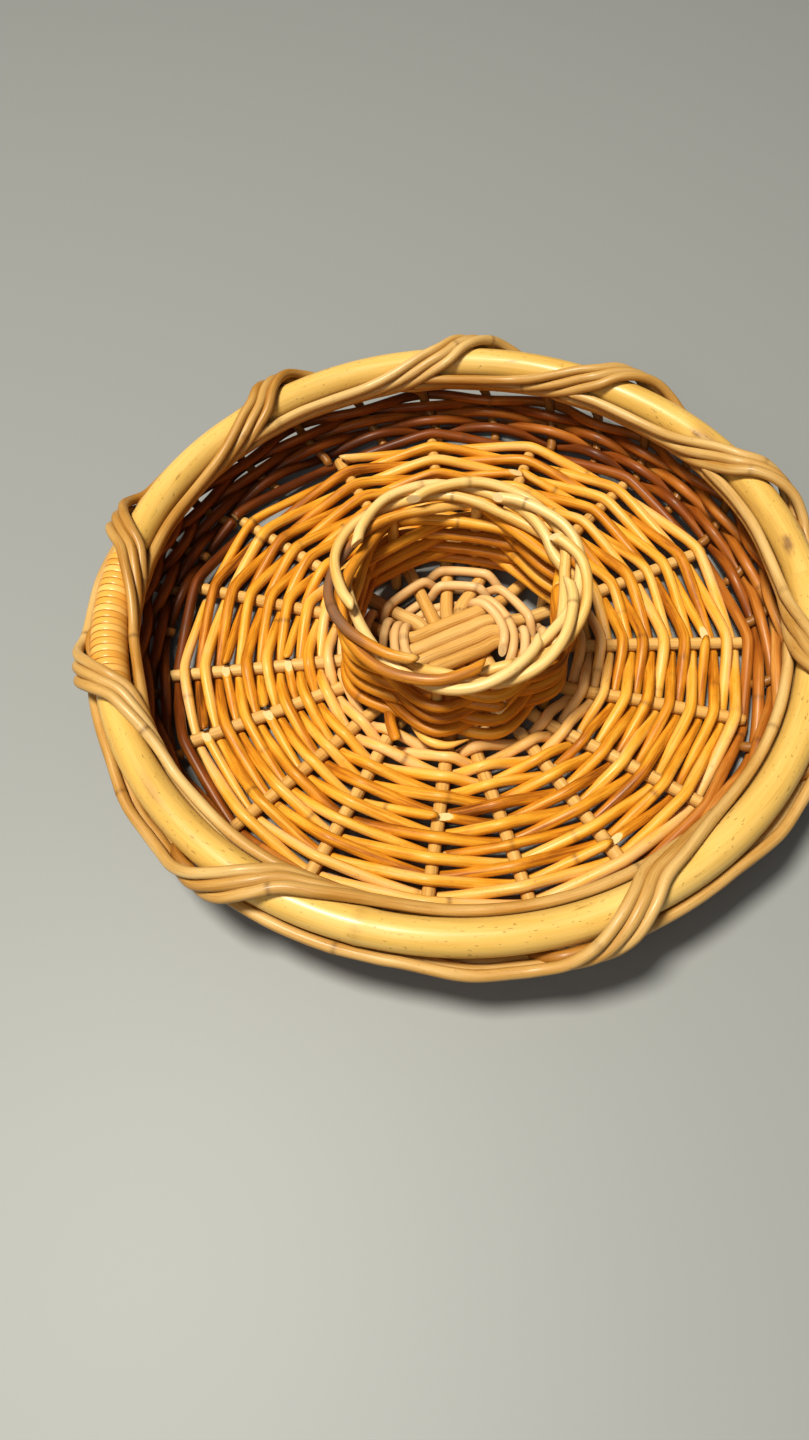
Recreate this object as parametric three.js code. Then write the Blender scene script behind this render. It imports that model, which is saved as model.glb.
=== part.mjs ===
// Round rattan serving tray with a dip cup woven into its middle.
// Millimetres, +Z up, standing on its woven floor, origin under the middle of the tray.
// Every rod is a separate closed solid, bent along its own weaving path.
import * as THREE from "three";

// ---- driving dimensions -------------------------------------------------------------------
const GAP = 0.3;                 // clearance left between rods that touch on the real tray
const WEAVER_R = 2.7;            // floor, cup and rim rods
const SPOKE_R = 3.75;            // stouter rods of the base
const BINDER_R = 2.3;            // fine rods that tie the crossed base
const WALL_R = 2.9;              // dark weavers of the low wall

const SPOKE_Z = 9.45;            // height of the spokes' axis
const FLOOR_IN = 71.5;           // first floor row
const FLOOR_OUT = 163;           // last floor row
const ROW_PITCH = 5.95;
const SPOKE_END = 166;
const CROSSING_HALF = 3;         // flat half length of a weaver where it crosses a spoke

const POLE_RING_R = 190;         // ring of the rim pole
const POLE_Z = 53;
const POLE_R = 9.2;

const CUP_R = 62;                // ring of the cup stakes
const CUP_ROW_Z = 21.8;          // first row of the cup wall
const CUP_TOP_ROW_Z = 59;
const CUP_PITCH = 6;

// Spoke directions in degrees: [outer end, inner end where it leaves the cup foot].
const SPOKES = [
  [-3.4, -3.4], [20.8, 20.8], [45, 45], [68, 68], [91, 91], [113, 113], [140, 141],
  [160, 158], [182.6, 184], [199, 199], [220, 219], [237.5, 233.5], [260, 262],
  [279, 274], [298, 297], [318, 308.5], [338.5, 331],
];
const INSERTED_SPOKE = 14;
// Base rods of the two crossed groups, as pairs of spoke numbers: one end, other end.
const UPPER_RODS = [[16, 10], [0, 9], [1, 8], [2, 7]];
const LOWER_RODS = [[3, 15], [4, 13], [5, 12], [6, 11]];
const UPPER_AXIS = 22;
const LOWER_AXIS = 110;
const ROD_SPACING = 9.2;

const CUP_STAKES = [3.5, 28, 75, 122, 165, 206, 255.5, 285.5, 319.5];
// Where each rod bundle crosses over the pole.
const WRAPS = [25.2, 57.5, 88, 126, 166, 196, 239.3, 294.6, 342.6];
const RODS_PER_WRAP = 3;

// ---- materials ----------------------------------------------------------------------------
const finish = (color, roughness) => new THREE.MeshStandardMaterial({ color, roughness, metalness: 0 });
const POLE_WOOD = finish(0xd9b060, 0.35);
const PALE = finish(0xd8b47c, 0.6);
const HONEY = finish(0xc98a35, 0.45);
const TAN = finish(0xcb9a62, 0.55);
const DARK = finish(0x6b3418, 0.4);
const CANE = finish(0xd39a52, 0.5);

// ---- shaping helpers ----------------------------------------------------------------------
const rad = (deg) => (deg * Math.PI) / 180;
const polar = (r, deg, z) => new THREE.Vector3(r * Math.cos(rad(deg)), r * Math.sin(rad(deg)), z);
const lerp = (a, b, t) => a + (b - a) * t;

/** Straight-sided path through its points, sampled exactly at them. */
class RodPath extends THREE.Curve {
  constructor(points, upright) {
    super();
    this.points = points;
    this.upright = upright;
  }

  getPoint(t, target = new THREE.Vector3()) {
    const last = this.points.length - 1;
    const i = Math.min(Math.floor(t * last + 1e-9), last - 1);
    return target.lerpVectors(this.points[i], this.points[i + 1], t * last - i);
  }

  getUtoTmapping(u) {
    return u;
  }

  /** Sections stand upright, or turn with the rod as little as they can. */
  computeFrenetFrames(segments) {
    const tangents = [], normals = [], binormals = [];
    const steep = Math.abs(this.points[1].z - this.points[0].z) > 0.9 * this.points[0].distanceTo(this.points[1]);
    let side = steep ? new THREE.Vector3(1, 0, 0) : new THREE.Vector3(0, 0, 1);
    for (let i = 0; i <= segments; i++) {
      const before = this.points[Math.max(i - 1, 0)], after = this.points[Math.min(i + 1, segments)];
      const into = this.points[i].clone().sub(before).normalize();
      const out = after.clone().sub(this.points[i]).normalize();
      const tangent = into.add(out).normalize();
      if (this.upright) side = new THREE.Vector3(0, 0, 1);
      side = side.clone().addScaledVector(tangent, -side.dot(tangent)).normalize();
      tangents.push(tangent);
      normals.push(side);
      binormals.push(new THREE.Vector3().crossVectors(tangent, side));
    }
    return { tangents, normals, binormals };
  }
}

const polygon = (radius, sides, path, phase = 0.5) => {
  for (let k = 0; k < sides; k++) {
    const a = rad((360 * (k + phase)) / sides);
    const x = radius * Math.cos(a), y = radius * Math.sin(a);
    if (k === 0) path.moveTo(x, y);
    else path.lineTo(x, y);
  }
  path.closePath();
  return path;
};

const tray = new THREE.Group();

function addMesh(name, geometry, material) {
  const mesh = new THREE.Mesh(geometry, material);
  mesh.name = name;
  tray.add(mesh);
}

/** One rod: a many-sided section swept along its points. */
function addRod(name, points, radius, sides, material, upright = false) {
  const section = polygon(radius, sides, new THREE.Shape());
  const extrudePath = new RodPath(points, upright);
  const steps = points.length - 1;
  addMesh(name, new THREE.ExtrudeGeometry(section, { steps, extrudePath }), material);
}

// ---- base: two crossed groups of four rods, fanned into spokes ------------------------------
const SPOKE_IN = 60;             // the fan is complete at this radius
const ARM_STRAIGHT = 24;         // rods run side by side up to here
const ARM_SETTLED = 41;          // and share one level from here on
const UPPER_LIFT = 7.6;          // the middle is domed: the upper group rides above the spokes' level
const LOWER_LIFT = -0.2;
const BINDING_ROUNDS = 2, BINDING_FIRST = 28, BINDING_PITCH = 4.95;

const spokeInner = (j) => polar(SPOKE_IN, SPOKES[j][1], SPOKE_Z);
const spokeOuter = (j) => polar(SPOKE_END, SPOKES[j][0], SPOKE_Z);
const spokeAt = (j, r) => spokeInner(j).lerp(spokeOuter(j), (r - SPOKE_IN) / (SPOKE_END - SPOKE_IN));

/** Half a base rod, from the middle of the tray to the tip of its spoke. */
function baseArm(j, axis, offset, lift) {
  const along = polar(1, axis, 0), across = polar(1, axis + 90, 0);
  const start = along.clone().multiplyScalar(ARM_STRAIGHT).addScaledVector(across, offset);
  const inner = spokeInner(j);
  const fanned = (ARM_SETTLED - ARM_STRAIGHT) / (SPOKE_IN - ARM_STRAIGHT);
  const settled = start.clone().setZ(SPOKE_Z).lerp(inner, fanned);
  start.z = SPOKE_Z + lift;
  return [start, settled, inner, spokeOuter(j)];
}

function baseRod(name, [near, far], axis, offset, lift) {
  const one = baseArm(near, axis, offset, lift);
  const other = baseArm(far, axis + 180, -offset, lift);
  addRod(name, [...other.reverse(), ...one], SPOKE_R, 6, PALE, true);
}

UPPER_RODS.forEach((pair, i) => baseRod(`base_rod_upper_${i + 1}`, pair, UPPER_AXIS,
  (i - 1.5) * ROD_SPACING, UPPER_LIFT));
LOWER_RODS.forEach((pair, i) => baseRod(`base_rod_lower_${i + 1}`, pair, LOWER_AXIS,
  (i - 1.5) * ROD_SPACING, LOWER_LIFT));
addRod("base_spoke_inserted", [spokeAt(INSERTED_SPOKE, SPOKE_IN + 6), spokeOuter(INSERTED_SPOKE)],
  SPOKE_R, 6, PALE, true);

/** Where a base arm crosses a circle round the middle. */
function armAtRadius(arm, r) {
  let i = 0;
  while (Math.hypot(arm[i + 1].x, arm[i + 1].y) < r) i++;
  let low = 0, high = 1;
  for (let n = 0; n < 30; n++) {
    const mid = (low + high) / 2, p = arm[i].clone().lerp(arm[i + 1], mid);
    if (Math.hypot(p.x, p.y) < r) low = mid;
    else high = mid;
  }
  return arm[i].clone().lerp(arm[i + 1], high);
}

/** Stretch of a rod that passes some arms one after another, at a height above their axes. */
function acrossArms(arms, r, rise, flat) {
  const crossings = arms.map((arm) => {
    const p = armAtRadius(arm, r);
    return [(Math.atan2(p.y, p.x) * 180) / Math.PI, p.z + rise];
  });
  const margin = (flat / r) * (180 / Math.PI);
  const first = crossings[0], last = crossings[crossings.length - 1];
  const points = crossings.map(([deg, z]) => polar(r, deg, z));
  return [polar(r, first[0] - margin, first[1]), ...points, polar(r, last[0] + margin, last[1])];
}

const armsOf = (rods, end, axis, lift) =>
  rods.map((pair, i) => {
    const offset = (i - 1.5) * ROD_SPACING;
    return baseArm(pair[end], axis + 180 * end, end ? -offset : offset, lift);
  });

// The arms in four groups, anticlockwise.
const ARM_GROUPS = [
  armsOf(UPPER_RODS, 0, UPPER_AXIS, UPPER_LIFT),
  armsOf(LOWER_RODS, 0, LOWER_AXIS, LOWER_LIFT),
  armsOf(UPPER_RODS, 1, UPPER_AXIS, UPPER_LIFT).reverse(),
  armsOf(LOWER_RODS, 1, LOWER_AXIS, LOWER_LIFT).reverse(),
];

/** Fine rod that ties the cross: over the upper arms, under the lower ones, round and round. */
function addCrossBinding() {
  const clear = SPOKE_R + BINDER_R + 2.5 * GAP, points = [];
  for (let k = 0; k < BINDING_ROUNDS * ARM_GROUPS.length; k++) {
    const r = BINDING_FIRST + (BINDING_PITCH * k) / ARM_GROUPS.length;
    const arms = ARM_GROUPS[k % ARM_GROUPS.length];
    points.push(...acrossArms(arms, r, k % 2 ? -clear : clear, clear));
  }
  addRod("base_cross_binding", points, BINDER_R, 6, TAN, true);
}
addCrossBinding();

const WEAVE_OFFSET = WEAVER_R + SPOKE_R + GAP;   // a floor weaver's axis above or below a spoke's
// Inside the cup the weaver passes over and under these runs of neighbouring arms.
const CUP_FLOOR_RUNS = [2, 2, 2, 2, 1, 2, 2, 2, 1];
const CUP_FLOOR_FIRST = 43, CUP_FLOOR_LAST = 54.4, CUP_FLOOR_PITCH = 5.8;
const CUP_FLOOR_FLAT = 4.9;      // level half length beside an arm

function addCupFloorWeaver() {
  const arms = ARM_GROUPS.flat(), points = [];
  const count = ((CUP_FLOOR_LAST - CUP_FLOOR_FIRST) / CUP_FLOOR_PITCH) * CUP_FLOOR_RUNS.length;
  let next = 0;
  for (let k = 0; k < count; k++) {
    const run = CUP_FLOOR_RUNS[k % CUP_FLOOR_RUNS.length];
    const r = CUP_FLOOR_FIRST + (CUP_FLOOR_PITCH * k) / CUP_FLOOR_RUNS.length;
    const crossed = Array.from({ length: run }, (_, i) => arms[(next + i) % arms.length]);
    points.push(...acrossArms(crossed, r, k % 2 ? -WEAVE_OFFSET : WEAVE_OFFSET, CUP_FLOOR_FLAT));
    next += run;
  }
  addRod("cup_floor_weaver", points, WEAVER_R, 6, TAN, true);
}
addCupFloorWeaver();

// ---- floor: one long weaver, over one spoke and under the next ------------------------------
function floorPoints(first, last) {
  const points = [];
  for (let k = first; k < last; k++) {
    const j = k % SPOKES.length;
    const centre = spokeAt(j, FLOOR_IN + (ROW_PITCH * k) / SPOKES.length);
    const spoke = spokeOuter(j).sub(spokeInner(j)).normalize();
    const along = new THREE.Vector3(-spoke.y, spoke.x, 0);
    centre.z = SPOKE_Z + (k % 2 ? -1 : 1) * WEAVE_OFFSET;
    points.push(centre.clone().addScaledVector(along, -CROSSING_HALF));
    points.push(centre.clone().addScaledVector(along, CROSSING_HALF));
  }
  return points;
}

function addFloorWeavers() {
  const crossings = Math.floor(((FLOOR_OUT - FLOOR_IN) / ROW_PITCH) * SPOKES.length);
  const parts = ["inner", "middle", "outer"];
  parts.forEach((part, i) => {
    const first = Math.round((crossings * i) / parts.length);
    const last = Math.round((crossings * (i + 1)) / parts.length);
    addRod(`floor_weaver_${part}`, floorPoints(first, last), WEAVER_R, 6, i === 2 ? TAN : HONEY, true);
  });
}
addFloorWeavers();

// ---- cup: stakes, spiral wall and rolled border ---------------------------------------------
const stakeAngle = (s) => {
  const n = CUP_STAKES.length, i = Math.floor(s);
  const at = (k) => CUP_STAKES[k % n] + 360 * Math.floor(k / n);
  return lerp(at(i), at(i + 1), s - i);
};

// Border path of a stake as [stakes travelled, radius, height].
const BORDER = [
  [0, 62, 64.5], [0.25, 59.6, 64.5], [0.5, 57.9, 65.4], [0.75, 57.4, 67.6], [1, 58.1, 69.9],
  [1.25, 59.9, 71.1], [1.5, 62.2, 70.5], [2, 66.2, 69.7], [2.5, 68.4, 72.9], [3, 66.7, 76.2],
  [3.5, 61.6, 76.8], [3.75, 58.6, 76.7],
];

function addCupStakes() {
  CUP_STAKES.forEach((angle, i) => {
    const foot = [polar(CUP_R, angle, 2), polar(CUP_R, angle, 60.5)];
    const rolled = BORDER.map(([s, r, z]) => polar(r, stakeAngle(i + s), z));
    addRod(`cup_stake_${i + 1}`, [...foot, ...rolled], WEAVER_R, 6, PALE);
  });
}
addCupStakes();

function addCupWeavers() {
  const turns = (CUP_TOP_ROW_Z - CUP_ROW_Z) / CUP_PITCH;
  const crossings = Math.floor(turns * CUP_STAKES.length);
  const out = 2 * WEAVER_R + GAP;
  const parts = ["lower", "upper"];
  parts.forEach((part, i) => {
    const first = Math.round((crossings * i) / parts.length);
    const last = Math.round((crossings * (i + 1)) / parts.length);
    const points = [];
    for (let k = first; k < last; k++) {
      const r = CUP_R + (k % 2 ? 1 : -1) * out;
      const z = CUP_ROW_Z + (CUP_PITCH * k) / CUP_STAKES.length;
      const flat = (CROSSING_HALF / CUP_R) * (180 / Math.PI);
      points.push(polar(r, stakeAngle(k) - flat, z), polar(r, stakeAngle(k) + flat, z));
    }
    addRod(`cup_weaver_${part}`, points, WEAVER_R, 6, HONEY, true);
  });
}
addCupWeavers();

// ---- rim: steam-bent pole, peeled-cane binding over its joint -------------------------------
const POLE_SIDES = 12;
const POLE_STEP = 6;              // degrees of the ring per straight facet
const BINDING_FROM = 168, BINDING_TO = 192, BINDING_R = 10.15;

function addPole() {
  const geometry = new THREE.TorusGeometry(POLE_RING_R, POLE_R, POLE_SIDES, 360 / POLE_STEP);
  geometry.translate(0, 0, POLE_Z);
  addMesh("rim_pole", geometry, POLE_WOOD);
}
addPole();

function addPoleBinding() {
  const sleeve = polygon(BINDING_R, POLE_SIDES, new THREE.Shape(), 0);
  sleeve.holes.push(polygon(POLE_R + GAP, POLE_SIDES, new THREE.Path(), 0));
  const points = [];
  for (let a = BINDING_FROM; a <= BINDING_TO; a += POLE_STEP) points.push(polar(POLE_RING_R, a, POLE_Z));
  const extrudePath = new RodPath(points, true);
  addMesh("rim_binding", new THREE.ExtrudeGeometry(sleeve, { steps: points.length - 1, extrudePath }), CANE);
}
addPoleBinding();

// ---- wall: rods that rise from the floor edge and lash the pole -----------------------------
const LASH_D = POLE_R + WEAVER_R + 1.6;   // axis of a rod that hugs the pole
const OUTER_D = LASH_D + 2 * WEAVER_R + 0.5;  // bundle riding over the next group's rods
const WALL_FOOT = [168.5, 9];
// Middle line of the wall in section: one round of weaving from each point to the next.
const WALL_LINE = [[171.9, 10.4], [178.4, 13.4], [184.2, 17.8], [188.4, 23.5], [191, 30]];
const RISE_START = -24;           // next group leaves the wall this far before a wrap
const LEAN = 0.8;                 // degrees that a rising rod leans per round of weaving

const aroundPole = (deg, phi, d) =>
  polar(POLE_RING_R + d * Math.cos(rad(phi)), deg, POLE_Z + d * Math.sin(rad(phi)));

const wrapAngle = (g) => {
  const n = WRAPS.length;
  return WRAPS[(g + n) % n] + 360 * Math.floor(g / n);
};
const stakeFoot = (g, j) => {
  const before = wrapAngle(g - 1);
  return before + RISE_START + ((wrapAngle(g) - before) * j) / RODS_PER_WRAP;
};

const LANE_STEP = 26, OUTER_LANE_STEP = 17;

// A bundle turns from outside-low to inside-low within TURN_HALF degrees either side of its wrap.
const TURN_HALF = 17, TURN_MIDDLE = 116, TURN_SWING = 131, TURN_STEP = 3.1;
const turnAngle = (a) => TURN_MIDDLE + TURN_SWING * (a / TURN_HALF) * (1.5 - 0.5 * (a / TURN_HALF) ** 2);

function lashingRod(g, j) {
  const foot = stakeFoot(g, j), wrap = wrapAngle(g) + 0.8 * (j - 1), next = wrapAngle(g + 1);
  const points = WALL_LINE.map(([r, z], i) => polar(r, foot + LEAN * i, z));
  points.unshift(polar(WALL_FOOT[0], foot, WALL_FOOT[1]));
  const lane = -15 - LANE_STEP * j, outerLane = -3 - OUTER_LANE_STEP * j;
  if (wrap - 38 > foot + 10) {
    points.push(aroundPole(foot + 8, lane, LASH_D));
    for (let a = foot + 16; a < wrap - 38; a += 8) points.push(aroundPole(a, lane, LASH_D));
    points.push(aroundPole(wrap - 36, lane, LASH_D));
  }
  for (const a of [-27, -21]) {
    if (wrap + a > foot + 5) points.push(aroundPole(wrap + a, outerLane, OUTER_D));
  }
  for (let a = -5 * TURN_STEP; a < TURN_HALF; a += TURN_STEP) {
    const phi = turnAngle(a);
    const opened = THREE.MathUtils.clamp((phi + 15) / 70, 0, 1);
    const turned = phi - lerp(OUTER_LANE_STEP, LANE_STEP, opened) * j + lerp(12, 0, opened);
    const d = lerp(OUTER_D, LASH_D, THREE.MathUtils.clamp(turned / 70, 0, 1));
    points.push(aroundPole(wrap + a, turned, d));
  }
  const inside = 247 - LANE_STEP * j, end = next + 7 - 2 * j;
  for (let a = wrap + 25; a < end - 3; a += 8) points.push(aroundPole(a, inside, LASH_D));
  points.push(aroundPole(end, inside, LASH_D));
  return points;
}

const LASH_TONES = [PALE, TAN, PALE, HONEY, TAN, PALE, TAN, HONEY, PALE];
WRAPS.forEach((_, g) => {
  for (let j = 0; j < RODS_PER_WRAP; j++) {
    addRod(`lashing_${g + 1}_rod_${j + 1}`, lashingRod(g, j), WEAVER_R, 5, LASH_TONES[g]);
  }
});

// ---- wall weavers: dark rods in and out of the rising rods ----------------------------------
const WALL_OFFSET = 6.9;

function wallPoint(u, side, deg) {
  const i = Math.floor(u);
  const [r0, z0] = WALL_LINE[i], [r1, z1] = WALL_LINE[i + 1];
  const length = Math.hypot(r1 - r0, z1 - z0), t = u - i;
  const r = lerp(r0, r1, t) + (side * WALL_OFFSET * (z1 - z0)) / length;
  const z = lerp(z0, z1, t) - (side * WALL_OFFSET * (r1 - r0)) / length;
  return polar(r, deg + LEAN * u, z);
}

function addWallWeavers() {
  const feet = [];
  WRAPS.forEach((_, g) => {
    for (let j = 0; j < RODS_PER_WRAP; j++) feet.push(stakeFoot(g, j));
  });
  for (let row = 0; row < WALL_LINE.length - 1; row++) {
    const points = feet.map((deg, i) => {
      const k = row * feet.length + i;
      return wallPoint(k / feet.length, k % 2 ? -1 : 1, deg);
    });
    addRod(`wall_weaver_${row + 1}`, points, WALL_R, 6, DARK, true);
  }
}
addWallWeavers();

// ---- place: lowest face on the ground, middle over the origin -------------------------------
const box = new THREE.Box3().setFromObject(tray);
const middle = box.getCenter(new THREE.Vector3());
tray.position.set(-middle.x, -middle.y, -box.min.z);
tray.updateMatrixWorld(true);

export default tray;
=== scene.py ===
# %% [markdown]
# A round rattan tray with a dip cup woven into its middle. The tray is nothing but bent rods: stout base
# rods crossed in the middle and fanned out as spokes, a long weaver that winds round them, stakes that rise
# into the cup and roll over as its border, and rods that climb the low wall and lash a thick pole as the
# rim. The frame gives every main size, so we start by loading it and reading those sizes back.

# %% Load the frame
import math
import bpy
import numpy as np
from mathutils import Matrix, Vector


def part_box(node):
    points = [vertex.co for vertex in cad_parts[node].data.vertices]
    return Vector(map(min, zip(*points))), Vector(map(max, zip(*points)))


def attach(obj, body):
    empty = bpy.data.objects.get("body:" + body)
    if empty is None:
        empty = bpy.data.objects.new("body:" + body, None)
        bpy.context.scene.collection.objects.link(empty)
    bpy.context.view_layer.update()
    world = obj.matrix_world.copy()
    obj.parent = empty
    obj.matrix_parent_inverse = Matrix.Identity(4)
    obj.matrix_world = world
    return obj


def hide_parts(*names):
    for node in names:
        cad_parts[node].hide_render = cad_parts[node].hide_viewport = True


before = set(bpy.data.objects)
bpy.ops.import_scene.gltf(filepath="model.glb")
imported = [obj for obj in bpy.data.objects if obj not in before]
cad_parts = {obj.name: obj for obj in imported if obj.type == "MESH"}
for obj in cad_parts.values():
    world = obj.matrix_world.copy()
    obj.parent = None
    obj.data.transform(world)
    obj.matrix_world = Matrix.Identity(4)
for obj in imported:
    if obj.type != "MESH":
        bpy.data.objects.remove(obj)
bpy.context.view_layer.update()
print("frame loaded:", len(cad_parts), "nodes")

# %% [markdown]
# A node's box tells what the eye would measure with callipers. The pole's box gives the ring and its
# thickness, a lone spoke gives the height of the floor, and the cup's weavers give its width: on each side
# a weaver, a stake's half and a narrow gap lie outside the ring of stakes. All lengths are in metres.

# %% Read the driving sizes from the frame
MM = 0.001


def box_of(node):
    low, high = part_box(node)
    return np.array(low), np.array(high)


pole_low, pole_high = box_of("rim_pole")
CENTRE = (pole_low + pole_high) / 2
POLE_Z = CENTRE[2]
POLE_R = (pole_high[2] - pole_low[2]) / 2
RING_R = (pole_high[0] - pole_low[0]) / 2 - POLE_R
spoke_low, spoke_high = box_of("base_spoke_inserted")
SPOKE_Z = (spoke_low[2] + spoke_high[2]) / 2
cup_low, cup_high = box_of("cup_weaver_lower")
WEAVER_R = 3.25 * MM
SPOKE_R = 3.75 * MM
FRAME_WEAVER_R, FRAME_GAP = 2.7 * MM, 0.3 * MM
CUP_R = (cup_high[0] - cup_low[0]) / 2 - 3 * FRAME_WEAVER_R - FRAME_GAP
print(f"ring {RING_R:.4f}, pole {POLE_R:.4f} at {POLE_Z:.4f}, spokes at {SPOKE_Z:.4f}, cup ring {CUP_R:.4f}")

# %% [markdown]
# Places on a round tray are easiest to say as a radius, an angle and a height. Angles are in degrees,
# anticlockwise from +X seen from above, and the tray's middle is the middle of the pole's ring. A spoke is
# not quite radial, so it has an angle at the floor's edge and another one near the cup.

# %% Polar places
rng = np.random.default_rng(7)


def polar(radius, degrees, height):
    turn = math.radians(degrees)
    return np.array([CENTRE[0] + radius * math.cos(turn), CENTRE[1] + radius * math.sin(turn), height])


def mix(a, b, t):
    return a + (b - a) * t


SPOKES = [
    (-3.4, -3.4), (20.8, 20.8), (45, 45), (68, 68), (91, 91), (113, 113), (140, 141), (160, 158),
    (182.6, 184), (199, 199), (220, 219), (237.5, 233.5), (260, 262), (279, 274), (298, 297), (318, 308.5),
    (338.5, 331),
]
CUP_STAKES = [3.5, 28, 75, 122, 165, 206, 255.5, 285.5, 319.5]
WRAPS = [25.2, 57.5, 88, 126, 166, 196, 239.3, 294.6, 342.6]
print(len(SPOKES), "spokes,", len(CUP_STAKES), "cup stakes,", len(WRAPS), "lashings")

# %% [markdown]
# A rod bends smoothly through the points where it crosses others. A Catmull-Rom spline does that: it passes
# through every point and needs no handles. The result is resampled evenly so that the mesh has even rings.

# %% Smooth a path through its crossings
def smooth_path(points, step):
    points = np.array(points, dtype=float)
    ends = [2 * points[0] - points[1], 2 * points[-1] - points[-2]]
    padded = np.vstack([ends[0], points, ends[1]])
    dense = []
    for i in range(1, len(padded) - 2):
        p0, p1, p2, p3 = padded[i - 1:i + 3]
        k01, k12, k23 = (max(np.linalg.norm(b - a), 1e-6) ** 0.5 for a, b in ((p0, p1), (p1, p2), (p2, p3)))
        m1 = (p2 - p1) + k12 * ((p1 - p0) / k01 - (p2 - p0) / (k01 + k12))
        m2 = (p2 - p1) + k12 * ((p3 - p2) / k23 - (p3 - p1) / (k12 + k23))
        count = max(4, int(np.linalg.norm(p2 - p1) / step * 2))
        t = (np.arange(count) / count)[:, None]
        dense.append((2 * t**3 - 3 * t**2 + 1) * p1 + (t**3 - 2 * t**2 + t) * m1
                     + (3 * t**2 - 2 * t**3) * p2 + (t**3 - t**2) * m2)
    dense = np.vstack(dense + [points[-1:]])
    travelled = np.concatenate([[0], np.cumsum(np.linalg.norm(np.diff(dense, axis=0), axis=1))])
    even = np.linspace(0, travelled[-1], max(2, int(travelled[-1] / step)) + 1)
    return np.column_stack([np.interp(even, travelled, dense[:, k]) for k in range(3)])


print("a test path has", len(smooth_path([(0, 0, 0), (0.01, 0.01, 0), (0.02, 0, 0)], 0.001)), "rings")

# %% [markdown]
# The rings must not twist about the rod, or the grain would spiral. Each ring's side direction is therefore
# the last one with only the part along the new tangent taken out, which turns it as little as possible.

# %% Carry a frame along a path
def carry_frames(path):
    tangents = np.gradient(path, axis=0)
    tangents /= np.linalg.norm(tangents, axis=1)[:, None]
    side = np.array([0.0, 0.0, 1.0]) if abs(tangents[0][2]) < 0.8 else np.array([1.0, 0.0, 0.0])
    sides = np.empty_like(path)
    for i, tangent in enumerate(tangents):
        side = side - tangent * side.dot(tangent)
        side /= np.linalg.norm(side)
        sides[i] = side
    return tangents, sides, np.cross(tangents, sides)


# %% [markdown]
# Real rattan isn't a perfect tube. It swells a little at its nodes, which sit a hand's width or two apart,
# and it is never quite even between them. Thickness and tone may also be given as stops, which are spread
# evenly over the rod's length.

# %% Give a rod its nodes and its unevenness
SWELL_REACH, NODE_RING_REACH = 2.8 * MM, 1.1 * MM
WOBBLES = ((0.02, 75, 1), (0.015, 210, 2))      # share of the radius, pace along the rod, part of the start


def spread(stops, along):
    stops = np.atleast_1d(stops)
    return np.interp(along / along[-1], np.linspace(0, 1, len(stops)), stops)


def node_distance(along, first_node, node_gap):
    return np.abs((along - first_node + node_gap / 2) % node_gap - node_gap / 2)


def unevenness(along, start, nearest, swell):
    wobble = sum(size * np.sin(along * pace + part * start) for size, pace, part in WOBBLES)
    return 1 + wobble + swell * np.exp(-((nearest / SWELL_REACH) ** 2))


print("stops 0 and 1 read in the middle give", spread((0, 1), np.array([0, 0.5, 1]))[1])

# %% [markdown]
# A rod is a ring of points carried along its path. Its cut ends are slightly rounded and often slanting,
# and each is closed with a small fan. Every point also stores where it is on the straightened rod, so that
# the grain can run along the rod whichever way it is bent.

# %% Sweep one rod into a closed mesh
END_ROUNDING, CAP_RISE = 0.86, 0.15 * MM


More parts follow.
